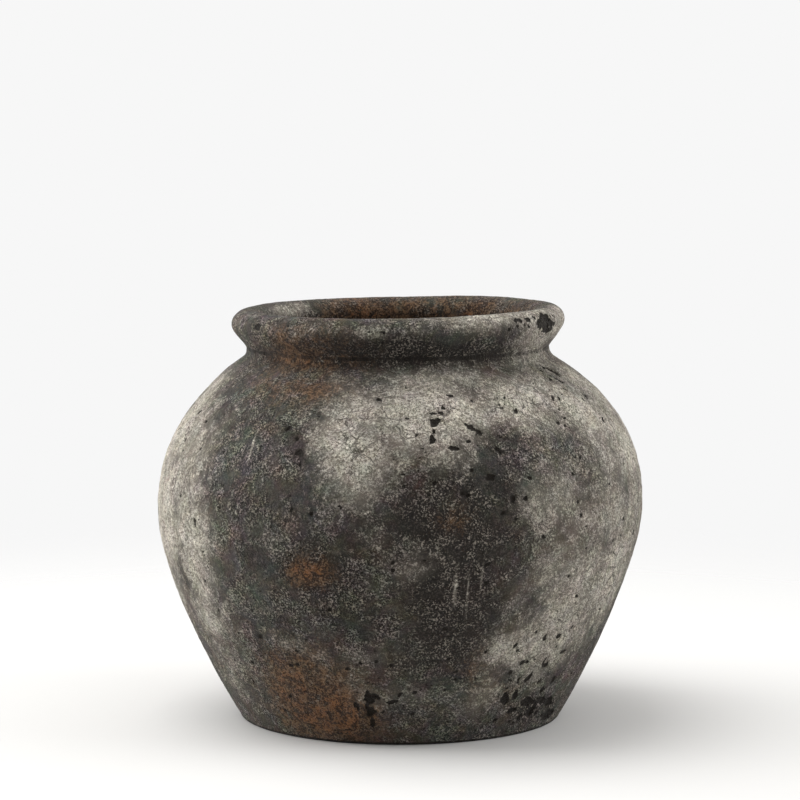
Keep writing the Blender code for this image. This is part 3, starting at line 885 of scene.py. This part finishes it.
# The chips' dark also paints shade in the crease under the roll, and the dark line at the foot.
chip_and_crease_shade_share = add(tree, "ShaderNodeMath", {0: grain, 1: 0.6, 2: mark["chip_and_crease_shade"]}, **TIMES_PLUS)
chip_and_crease_shade_share = add(tree, "ShaderNodeMapRange", {0: chip_and_crease_shade_share, 1: 0.80, 2: 0.95, 4: 0.96}, **SMOOTH)
body = add(tree, "ShaderNodeMix", {0: chip_and_crease_shade_share, 6: body, 7: colour("#201b16")}, **BLEND)
print(len(tree.nodes), "nodes with cracks and chips")

# %% [markdown]
# ## Relief and sheen
#
# Grain under a millimetre is too fine for the mesh, so it is a bump. Unglazed
# earthenware is matt: it is rough, its highlights are dull, and a little sheen
# stands for the dust on it.

# %% Relief and sheen of the clay
relief = add(tree, "ShaderNodeMath", {0: grain, 1: 0.6}, **TIMES)
relief = add(tree, "ShaderNodeMath", {0: crumbs, 1: 0.9, 2: relief}, **TIMES_PLUS)
relief = add(tree, "ShaderNodeMath", {0: threads, 1: 0.20, 2: relief}, **TIMES_PLUS)
coarse = add(tree, "ShaderNodeMath", {0: rough_zone, 1: 0.7, 2: 0.3}, **TIMES_PLUS)
relief = add(tree, "ShaderNodeMath", {0: relief, 1: coarse}, **TIMES)
relief = add(tree, "ShaderNodeMath", {0: wash_and_edge_highlight, 1: 0.25, 2: relief}, **TIMES_PLUS)
relief = add(tree, "ShaderNodeMath", {0: crazed, 1: -0.5, 2: relief}, **TIMES_PLUS)
bump = add(tree, "ShaderNodeBump", {"Height": relief, "Strength": 1.0, "Distance": 2.2 * MM})
roughness = add(tree, "ShaderNodeMapRange", {0: blotch, 1: 0.3, 2: 0.7, 3: 0.72, 4: 0.95}, **SMOOTH)
shader = add(tree, "ShaderNodeBsdfPrincipled",
             {"Base Color": body, "Roughness": roughness, "Normal": bump, "IOR": 1.5,
              "Specular IOR Level": 0.12, "Sheen Weight": 0.06, "Sheen Roughness": 0.4})
add(tree, "ShaderNodeOutputMaterial", {"Surface": shader})
for piece in members.values():
    piece.data.materials.clear()
    piece.data.materials.append(clay)
print(clay.name, "lies on", len(members), "members")

# %% [markdown]
# ## Floor, light and camera
#
# The jar stands on a plain pale floor that fades into an equally pale surround.
# A large soft light from the upper left gives the shape. A weaker one, low on the
# left, brightens that edge, one from the right keeps the shade side open, and
# the pale surround does the rest.

# %% Pale floor
floor_bm = bmesh.new()
bmesh.ops.create_circle(floor_bm, cap_ends=True, segments=96, radius=6.0)
floor_mesh = bpy.data.meshes.new("floor")
floor_bm.to_mesh(floor_mesh)
floor_bm.free()
floor = bpy.data.objects.new("floor", floor_mesh)
bpy.context.scene.collection.objects.link(floor)

paper = bpy.data.materials.new("matt_white_paper_sweep")
paper.use_nodes = True
tree = paper.node_tree
tree.nodes.clear()
spot = add(tree, "ShaderNodeTexCoord", {}, out="Object")
distance = add(tree, "ShaderNodeVectorMath", {0: spot}, out="Value", operation="LENGTH")
fade = add(tree, "ShaderNodeMapRange", {0: distance, 1: 0.16, 2: 0.8}, **SMOOTH)
matt = add(tree, "ShaderNodeBsdfDiffuse", {"Color": colour("#d1d0ce")})
clear = add(tree, "ShaderNodeBsdfTransparent", {})
mixed = add(tree, "ShaderNodeMixShader", {0: fade, 1: matt, 2: clear})
add(tree, "ShaderNodeOutputMaterial", {"Surface": mixed})
floor_mesh.materials.append(paper)
print("floor", floor_mesh.name, "in", paper.name)

# %% Soft studio light
# The surround is a white cove that is dimmer on the side it is open to, the front.
world = bpy.data.worlds.new("pale_cove")
world.use_nodes = True
tree = world.node_tree
tree.nodes.clear()
way = add(tree, "ShaderNodeTexCoord", {}, out="Generated")
depth = add(tree, "ShaderNodeVectorMath", {0: way, 1: (0.15, -1.0, 0.1)}, out="Value",
            operation="DOT_PRODUCT")
open_side = add(tree, "ShaderNodeMapRange", {0: depth, 1: -0.1, 2: 0.8, 3: 1.0, 4: 0.45}, **SMOOTH)
cove = add(tree, "ShaderNodeBackground", {"Color": colour("#f7f7f7"), "Strength": open_side})
add(tree, "ShaderNodeOutputWorld", {"Surface": cove})
bpy.context.scene.world = world
bpy.context.scene.view_settings.view_transform = "Standard"


def soft_light(name, place, size, power):
    """A square panel of light that faces the middle of the jar."""
    panel = bpy.data.lights.new(name, "AREA")
    panel.size = size
    panel.energy = power
    lamp = bpy.data.objects.new(name, panel)
    aim = Vector((0, 0, HEIGHT / 2)) - Vector(place)
    lamp.location = place
    lamp.rotation_euler = aim.to_track_quat("-Z", "Y").to_euler()
    bpy.context.scene.collection.objects.link(lamp)


soft_light("key_from_upper_left", (-0.8, 0.1, 2.0), 1.9, 36)
soft_light("bounce_from_left", (-1.8, 0.3, 0.45), 1.2, 30)
soft_light("fill_from_right", (1.6, -0.2, 0.8), 1.2, 19)
print(len(bpy.data.lights), "soft lights in a pale cove")

# %% Camera at the eye's place
CAMERA_DISTANCE = 1.8          # metres in front of the axis
CAMERA_HEIGHT = 0.3716         # metres above the floor
LOOK_DOWN = radians(5.986)
SENSOR_WIDTH, LENS = 36, 140.85    # both in millimetres
camera_data = bpy.data.cameras.new("eye")
camera_data.sensor_width = SENSOR_WIDTH
camera_data.lens = LENS
camera = bpy.data.objects.new("eye", camera_data)
camera.location = (0, -CAMERA_DISTANCE, CAMERA_HEIGHT)
camera.rotation_euler = (pi / 2 - LOOK_DOWN, 0, 0)
bpy.context.scene.collection.objects.link(camera)
bpy.context.scene.camera = camera
print("camera", CAMERA_DISTANCE, "m away, looking down by", round(np.degrees(LOOK_DOWN), 1), "degrees")
